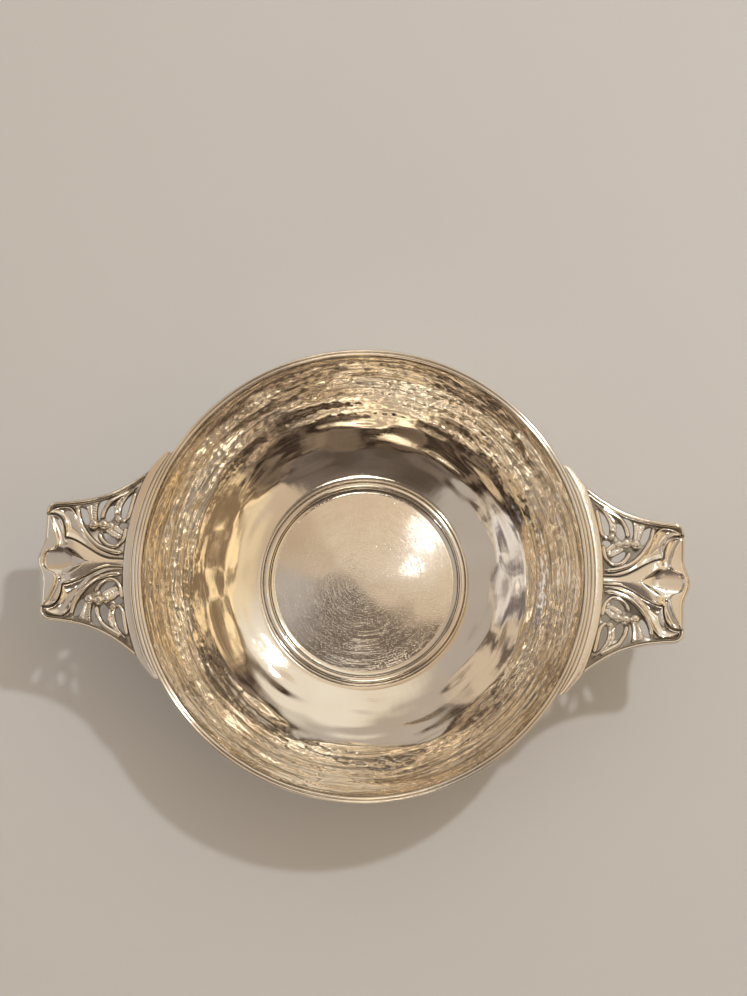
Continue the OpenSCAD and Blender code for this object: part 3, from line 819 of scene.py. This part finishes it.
def strap_shell(rows=181, cols=41, gap=0.04, lap=1.0, least_width=0.12, ground=0.1,
                bead=(0.15, 0.15, 0.3), band=(0.66, 0.36, 0.05), groove=(0.315, 0.025, 0.22),
                roll=(0.14, 0.5), groove_dirt=(0.315, 0.03, 0.6), rim_dirt=(0.0, 0.04, 0.6),
                base_dirt=0.35):
    """A bead along the rim, a groove and a broad flat band, tapering to round ends.
    Its base reaches in under the rim by lap."""
    a = np.linspace(-STRAP_END, STRAP_END, rows)
    taper = np.maximum(np.abs(a) - STRAP_TAPER, 0) / (STRAP_END - STRAP_TAPER)
    end = np.clip((np.abs(a) - STRAP_END + STRAP_ROUND) / STRAP_ROUND, 0, 1)
    width = np.maximum(STRAP_W * mix(1, STRAP_END_SHARE, taper) * half_round(end), least_width)
    ray = np.stack([np.cos(a), np.sin(a)], -1)
    plan = patch(ray * (RIM_R + gap), ray * (RIM_R + width)[:, None], cols)
    v = np.linspace(0, 1, cols)
    raised = wire(v, *bead) + wire(v, *band)
    sunk = bump_at(v, *groove) + rolled(1 - v, *roll)
    height = STRAP_TOP - ground + raised - sunk
    dirt = bump_at(v, *groove_dirt) + bump_at(v, *rim_dirt)
    return slab(plan, height, PLATE_Z, dirt, lap, base_dirt)


def border_shell(rows=90, turn_steps=16, end_steps=4, cols=25, turn=(80, 0), main_wire=(0.66, 0.34),
                 wire_power=0.5, inner_bead=(0.14, 0.14), bead_power=0.8, bead_height=0.9,
                 groove_height=0.3, dirt_heights=(0.75, 0.35), end_share=0.75):
    """A half-round side wire with a fine bead inside it, which turns round the outer corner."""
    s = np.linspace(ROOT_S, CORNER_S, rows)
    end_y = on_lug(TIP_SIDE[-1])[1] + RAIL_GAP
    ends = np.linspace(0, 1, end_steps + 1)
    edges = []
    for half, depth in ((inner_half, BORDER_W), (outer_half, 0.0)):
        corner = arc(CORNER, CORNER_R - depth, *turn, turn_steps)
        end = mix(corner[-1], [TIP_X - depth, end_y], ends[1:, None])
        edges.append(np.concatenate([along(s, half(s)), corner, end]))
    plan = patch(*edges, cols)
    v = np.linspace(0, 1, cols)
    main = BORDER_H * wire(v, *main_wire) ** wire_power
    bead = bead_height * wire(v, *inner_bead) ** bead_power
    profile = np.maximum(np.maximum(main, bead), groove_height)
    fade = np.ones(len(plan))
    fade[-len(ends):] = mix(1, end_share, ends)
    return relief(plan, fade[:, None] * profile, ramp(profile, *dirt_heights))


# The flower that the tongue and the thumb end share: a drop-shaped hollow that opens into three lobes.
# The inner edge of its lip, as distance in from the end and distance from the centre line
LIP_EDGE = [
    [1.7, 0.0], [2.0, 1.6], [3.0, 2.8], [4.7, 3.5], [5.6, 4.6], [5.5, 6.4], [4.8, 8.6],
    [3.8, 10.8], [2.6, 12.8],
]
# The start of the drop and its widest place
DROP_START = TIP_X - 12.2
DROP_X = TIP_X - 5.6
# Tarnish in hollows and at edges
HOLLOW_DIRT = 0.12
EDGE_DIRT = 0.7


def flower_height(x, y, lip_step=0.9, root_height=1.0, full_height=1.95, drop_half=5.3,
                  drop_least=0.02, drop_power=0.75, drop_depth=0.95,
                  drop_rise=(DROP_START - 1, DROP_START + 4), lobe_width=1.5, lobe_depth=0.75,
                  lobe_start=(3.0, 6.0), lobe_end=(14.5, 11.5)):
    """Height above the plate, and how deep in the drop or a lobe."""
    out = np.abs(y)
    rise = mix(root_height, full_height, ramp(x, STRAP_R, DROP_X))
    lip_in, lip_out = open_curve(LIP_EDGE).T
    inward = TIP_X + TIP_SWELL - np.interp(out, lip_out, lip_in) - x
    within = smooth(inward / lip_step)
    reach = np.clip((x - DROP_START) / (DROP_X - DROP_START), drop_least, 1)
    drop = smooth(1 - (y / (drop_half * reach ** drop_power)) ** 2) * ramp(x, *drop_rise)
    lobe = bump_at(inward, lobe_width, lobe_width) * ramp(out, *lobe_start) * ramp(out, *lobe_end)
    hollow = within * (1 - (1 - drop) * (1 - lobe_depth / drop_depth * lobe))
    return rise - drop_depth * hollow, hollow


def leaf_shell(rows=90, cols=61, roll=(0.6, 0.8), side_fall=0.12,
               fall_end=(LEAF_STOP, LEAF_STOP - 0.3), dirt_width=0.2):
    """The central tongue, from a narrow root to the open side of the drop."""
    s = np.linspace(ROOT_S, LEAF_STOP, rows)
    y = leaf_half(s)
    plan = patch(along(s, -y), along(s, y), cols)
    v = np.linspace(-1, 1, cols)[None, :]
    height, hollow = flower_height(plan[..., 0], plan[..., 1])
    edge = (1 - np.abs(v)) * y[:, None]
    fall = side_fall * v * v * ramp(s, *fall_end)[:, None]
    height = height - rolled(edge, *roll) - fall
    return relief(plan, height, EDGE_DIRT * ramp(edge, dirt_width, 0) + HOLLOW_DIRT * hollow)


def petal_shell(edge_rows=90, rows=180, cols=61, leaves=LEAF_STOP - 0.015, meets=0.35,
                rise_heights=(0.9, 1.5), rise_span=(0.2, 0.8), roll=(0.45, 0.65), dirt_width=0.2,
                scoop_depth=0.7, scoop_start=(0.35, 0.55), scoop_end=(1.02, 0.82), clean_depth=0.3,
                scoop_dirt=0.3):
    """A ridge beside the tongue that opens into an almond-shaped scoop at the corner.
    It leaves the tongue and meets the end's lobe. Spans, starts and ends are shares of its length."""
    s = np.linspace(ROOT_S, leaves, edge_rows)
    lobe = on_lug(open_curve(np.array(TIP_SIDE) + LOBE_SHIFT))
    lobe = lobe[lobe[:, 1] > leaf_half(LEAF_STOP) + GROOVE + meets]
    inner = resample(np.concatenate([along(s, leaf_half(s) + GROOVE), lobe]), rows)
    outer = resample(on_lug(open_curve(PETAL_EDGE)), rows)
    plan = patch(inner, outer, cols)
    width = np.linalg.norm(outer - inner, axis=1)[:, None]
    v = np.linspace(0, 1, cols)[None, :]
    u = np.linspace(0, 1, rows)[:, None]
    rise = mix(*rise_heights, ramp(u, *rise_span))
    scoop = scoop_depth * ramp(u, *scoop_start) * ramp(u, *scoop_end) * (1 - (2 * v - 1) ** 2)
    side = np.minimum(v, 1 - v) * width
    height = rise - scoop - rolled(side, *roll, room=width)
    recess = EDGE_DIRT * ramp(side, dirt_width, 0) + scoop_dirt * smooth(scoop - clean_depth)
    return relief(plan, height, recess)


def stem_shell(places, width, height, steps=12, cols=13, drawn=0.05, least=0.12, side_share=0.25,
               dirt_span=(0.7, 1.0)):
    """A half-round stem with ends drawn in over a share of its length."""
    line = resample(on_lug(open_curve(places)), steps * len(places))
    side = leftward(np.gradient(line, axis=0))
    u = np.linspace(0, 1, len(line))
    ends = np.sqrt(np.clip(np.minimum(u, 1 - u) / drawn, least, 1))
    half = (width / 2 * ends)[:, None]
    plan = patch(line - side * half, line + side * half, cols)
    v = np.linspace(-1, 1, cols)[None, :]
    rise = height * np.sqrt(ends)[:, None] * mix(side_share, 1, half_round(v))
    return relief(plan, rise, ramp(np.abs(v), *dirt_span))


def small_leaf_shell(edges, rows=48, cols=25, vein_count=7, vein_slant=1.2, vein_height=0.06,
                     vein_fade=0.3, vein_dirt=3.0, midrib=(0, 0.14, 0.15), midrib_dirt=(0, 0.12, 0.4),
                     full_width=0.9, roll=(0.35, 0.6), drawn=0.08, drawn_height=0.35,
                     least_height=0.08, dirt_width=0.22):
    """A small leaf with a sunk midrib and slanting veins."""
    first, second = (resample(on_lug(open_curve(edge)), rows) for edge in edges)
    plan = patch(first, second, cols)
    width = np.linalg.norm(second - first, axis=1)[:, None]
    v = np.linspace(-1, 1, cols)[None, :]
    u = np.linspace(0, 1, rows)[:, None]
    inward = 1 - np.abs(v)
    side = inward * width / 2
    wave = np.sin(FULL_TURN * (vein_count * u - vein_slant * np.abs(v)))
    veins = vein_height * wave * smooth(inward / vein_fade)
    rib = bump_at(v, *midrib) * smooth(width / full_width)
    ends = drawn_height * (1 - smooth(np.minimum(u, 1 - u) / drawn))
    rise = SMALL_LEAF_H - rolled(side, *roll) - rib + veins - ends
    recess = ramp(side, dirt_width, 0) + bump_at(v, *midrib_dirt) - vein_dirt * veins
    return relief(plan, np.maximum(rise, least_height), recess)


def spray_shells():
    shells = [stem_shell(line, *STEM) for line in (MAIN_STEM, TENDRIL)]
    shells += [stem_shell(line, *FINE_STEM) for line in (LOOP_STEM, SCROLL)]
    shells += [small_leaf_shell(edges) for edges in SMALL_LEAVES]
    return shells


def berry_shell(s, t, share, rows=22, segments=32, tilts=(0.08 * math.pi, 0.72 * math.pi),
                dirt_tilts=(0.42 * math.pi, 0.57 * math.pi), dimple_width=0.35, dimple_depth=0.13,
                dimple_dirt=0.6):
    """A ball with a small dimple where its flower was."""
    radius = BERRY_D * share / 2
    centre = np.append(on_lug([s, t]), PLATE_TOP + radius / 2)
    tilt = np.linspace(*tilts, rows)
    dimple = bump_at(tilt, 0, dimple_width)
    r = radius * (1 - dimple_depth * dimple)
    points = polar(r * np.sin(tilt), turns(segments)[:, None], r * np.cos(tilt)) + centre
    recess = np.clip(ramp(tilt, *dirt_tilts) + dimple_dirt * dimple, 0, 1)
    return points.reshape(-1, 3), capped_faces(segments, rows), np.tile(recess, segments)


def tip_shell(rows=241, cols=81, joint_lap=0.25, joint_reach=0.3, joint_step=0.004, lobe_lap=0.12,
              end_roll=(1.7, 1.9), side_roll=(0.4, 0.7), lobe_roll=(0.5, 0.6), lobe_begins=0.4,
              least_height=-0.9, side_dirt=0.15, lobe_dirt=0.2):
    """The rolled thumb end with the rest of the flower's hollows inside its lip.
    It reaches back under the tongue by joint_lap, and lies joint_step lower up to joint_reach."""
    side = on_lug(open_curve(TIP_SIDE))
    reach = side[-1, 1]
    y = np.linspace(-reach, reach, rows)
    out = np.abs(y)
    join = along(LEAF_STOP + 0 * y, y)[:, 0] - joint_lap
    lobe_back = np.interp(out, side[:, 1], side[:, 0]) - lobe_lap
    back = np.where(out < leaf_half(LEAF_STOP), join, lobe_back)
    plan = patch(np.stack([back, y], -1), np.stack([tip_edge(y), y], -1), cols)
    height, hollow = flower_height(plan[..., 0], plan[..., 1])
    length = (tip_edge(y) - back)[:, None]
    inward = np.linspace(0, 1, cols)[None, :] * length
    edge = reach - np.abs(plan[..., 1])
    lobe = smooth((out - leaf_half(LEAF_STOP)) / lobe_begins)[:, None]
    roll = rolled(inward[:, ::-1], *end_roll, room=length) + rolled(edge, *side_roll)
    start = lobe * rolled(inward, *lobe_roll)
    under = joint_step * (1 - lobe) * (inward < joint_reach)
    height = np.maximum(height - roll - start - under, least_height)
    rims = ramp(edge, side_dirt, 0) + lobe * ramp(inward, lobe_dirt, 0)
    return relief(plan, height, HOLLOW_DIRT * hollow + EDGE_DIRT * rims)


def make_lug(side, cast, ground):
    """The pieces of one lug: those made whole, then those of its two halves."""
    x = SIDES[side]
    name = f"{side}_lug_"
    make_piece(name + "sheet", [mirrored(plate_shell(), x)], ground, [name + "plate"])
    make_piece(name + "band", [mirrored(strap_shell(), x)], cast, [name + "strap"])
    make_piece(name + "tongue", [mirrored(leaf_shell(), x)], cast, [name + "leaf"])
    make_piece(name + "thumb_end", [mirrored(tip_shell(), x)], cast, [name + "tip"])
    halves = {
        "border": ("rail", [border_shell()]),
        "petal": ("side_petal", [petal_shell()]),
        "spray": ("foliage", spray_shells()),
        "berries": ("balls", [berry_shell(*berry) for berry in BERRIES]),
    }
    for half, y in HALVES.items():
        for node, (piece, shells) in halves.items():
            turned = [mirrored(shell, x, y) for shell in shells]
            make_piece(f"{name}{piece}_{half}", turned, cast, [f"{name}{node}_{half}"])


# Stage

def make_floor(light=(0.76, 0.77, 0.79, 1), shade=(0.72, 0.73, 0.75, 1), noise=(6, 3, 0.55),
               roughness=0.7, half=20.0):
    s = Shader(bpy.data.materials.new("pale_floor"))
    cloud = s.noise(s.place(), *noise)
    s.feed(s.surface["Base Color"], s.blend(cloud, light, shade))
    s.feed(s.surface["Roughness"], roughness)
    corners = [(x * half, y * half, 0) for x, y in ((-1, -1), (1, -1), (1, 1), (-1, 1))]
    mesh = bpy.data.meshes.new("floor")
    mesh.from_pydata(corners, [], [(0, 1, 2, 3)])
    mesh.materials.append(s.owner)
    add_object("floor", mesh)


def aim(azimuth, elevation):
    """Unit way towards a light: azimuth from +X towards +Y, in degrees."""
    a, e = math.radians(azimuth), math.radians(elevation)
    return Vector((math.cos(a) * math.cos(e), math.sin(a) * math.cos(e), math.sin(e)))


def heights(*elevations):
    """Heights on the unit dome at elevations in degrees."""
    return [math.sin(math.radians(elevation)) for elevation in elevations]


# The studio: a dome of two tones with lights painted over it. Each light has an azimuth, an elevation,
# the angles from there to full light and to none, and a colour
DOME = (0.105, 0.08, 0.063, 1)
DOME_LIGHT = (0.19, 0.152, 0.128, 1)
DOME_PATCHES = (3.5, 3, 0.55, 0.35, 0.65)
LOW_GOLD = (0.78, 0.67, 0.52, 1)
BRIGHT_GOLD = (1.9, 1.7, 1.36, 1)
LOW_DIM = (0.48, 0.38, 0.29, 1)
COOL_WHITE = (0.95, 0.96, 1.0, 1)
HOT_WHITE = (2.4, 2.35, 2.25, 1)
# Lights that the room's patches of shade fall on
ROOM_LIGHTS = [
    (160, 45, 35, 41, (0.50, 0.45, 0.41, 1)),
    (8, 50, 30, 34, (0.64, 0.50, 0.36, 1)),
    (2, 32, 27, 36, (0.86, 0.69, 0.46, 1)),
    (180, 26, 16, 21, (0.64, 0.64, 0.71, 1)),
    (171, 24, 3, 5, COOL_WHITE),
    (190, 22, 3, 5, COOL_WHITE),
    (60, 10, 6, 10, LOW_GOLD),
    (-45, 12, 6, 10, LOW_DIM),
    (-72, 13, 5, 9, LOW_GOLD),
    (-97, 15, 12, 18, BRIGHT_GOLD),
    (-120, 13, 6, 10, LOW_GOLD),
    (-148, 12, 6, 10, LOW_DIM),
]
# Lights that stay clear
CLEAR_LIGHTS = [
    (95, 38, 25, 31, (0.52, 0.45, 0.385, 1)),
    (72, 52, 19, 32, (0.88, 0.79, 0.66, 1)),
    (108, 72, 10.5, 11.3, (0.58, 0.44, 0.31, 1)),
    (70, 75, 11, 12.2, (0.74, 0.60, 0.45, 1)),
    (65, 77.5, 1.8, 2.3, HOT_WHITE),
    (62, 81.5, 1.1, 1.5, HOT_WHITE),
    (-85, 79, 3, 5, (7.0, 6.4, 5.4, 1)),
]
# The patches of shade, the heights over which they end, and the pale backdrop round the floor
ROOM_PATCHES = (6, 2, 0.55, 0.42, 0.58)
ROOM_SHADE = (0.32, 0.27, 0.24, 1)
ROOM_LIGHT = (1.40, 1.30, 1.12, 1)
NO_TINT = (1, 1, 1, 1)
ROOM_TOP = heights(42, 52)
ROOM_FOOT = heights(4, 11)
BACKDROP = (0.42, 0.37, 0.315, 1)


def paint(s, way, colour, lights):
    """A sky colour with soft round lights over it."""
    for azimuth, elevation, full, none, light in lights:
        facing = s.vector("DOT_PRODUCT", way, aim(azimuth, elevation), output="Value")
        share = s.span(facing, math.cos(math.radians(none)), math.cos(math.radians(full)))
        colour = s.blend(share, colour, light)
    return colour


def make_world():
    s = Shader(bpy.data.worlds.new("studio"), "Background")
    bpy.context.scene.world = s.owner
    way = s.add("ShaderNodeTexCoord").outputs["Generated"]
    height = s.add("ShaderNodeSeparateXYZ", {0: way}).outputs["Z"]
    dome = s.blend(s.patches(way, *DOME_PATCHES), DOME, DOME_LIGHT)
    room = s.blend(s.patches(way, *ROOM_PATCHES), ROOM_SHADE, ROOM_LIGHT)
    tint = s.blend(s.span(height, *ROOM_TOP), room, NO_TINT)
    colour = s.vector("MULTIPLY", paint(s, way, dome, ROOM_LIGHTS), tint)
    colour = paint(s, way, colour, CLEAR_LIGHTS)
    s.feed(s.surface["Color"], s.blend(s.span(height, *ROOM_FOOT), BACKDROP, colour))


def make_lamp(name="key", azimuth=50, elevation=58, distance=0.9, size=0.045, power=1.8,
              colour=(1.0, 0.98, 0.95)):
    """A round lamp, in metres and watts, that shines at the middle of the floor."""
    lamp = bpy.data.lights.new(name, "AREA")
    lamp.shape = "DISK"
    lamp.size = size
    lamp.energy = power
    lamp.color = colour
    obj = add_object(name, lamp)
    obj.location = aim(azimuth, elevation) * distance
    obj.rotation_euler = (-obj.location).to_track_quat("-Z", "Y").to_euler()


# The camera, nearly over the bowl and turned to the photographed frame of 747 by 996 pixels
IMAGE_H = 996
SENSOR = 36.0
FOCAL_PX = 1578
CAMERA_AT = (8.8, -48.4, 485.0)
CAMERA_TURN = (8.87, 0.50, 2.17)
CLIP_START = 0.01


def make_camera():
    data = bpy.data.cameras.new("camera")
    data.sensor_width = SENSOR
    data.lens = FOCAL_PX / IMAGE_H * SENSOR
    data.clip_start = CLIP_START
    camera = add_object("camera", data)
    camera.location = Vector(CAMERA_AT) * MM
    camera.rotation_euler = [math.radians(turn) for turn in CAMERA_TURN]
    bpy.context.scene.camera = camera


sheet_silver = silver("planished_silver", polish=0.03, dull=0.08, turned=(1100, 12), line_depth=5e-6,
                      speck_depth=2e-6, scratch_depth=1.6e-6, hammered=True)
wire_silver = silver("drawn_silver", polish=0.06, dull=0.13, turned=(2000, 6), line_depth=4e-6)
disc_silver = silver("swirled_silver", polish=0.04, dull=0.09, turned=(2400, 2), speck_depth=7e-6,
                     scratch_depth=3.4e-6)
cast_silver = silver("chased_silver", polish=0.045, dull=0.11, line_depth=8e-6, speck_depth=2e-6)
ground_silver = silver("tarnished_silver", polish=0.18, dull=0.34, tarnish=0.72)

make_bowl(sheet_silver)
make_rim(wire_silver)
make_ring(wire_silver)
make_disc(disc_silver)
make_foot(sheet_silver, wire_silver)
for lug_side in SIDES:
    make_lug(lug_side, cast_silver, ground_silver)

make_floor()
make_world()
make_lamp()
make_camera()
bpy.context.scene.view_settings.view_transform = "Standard"
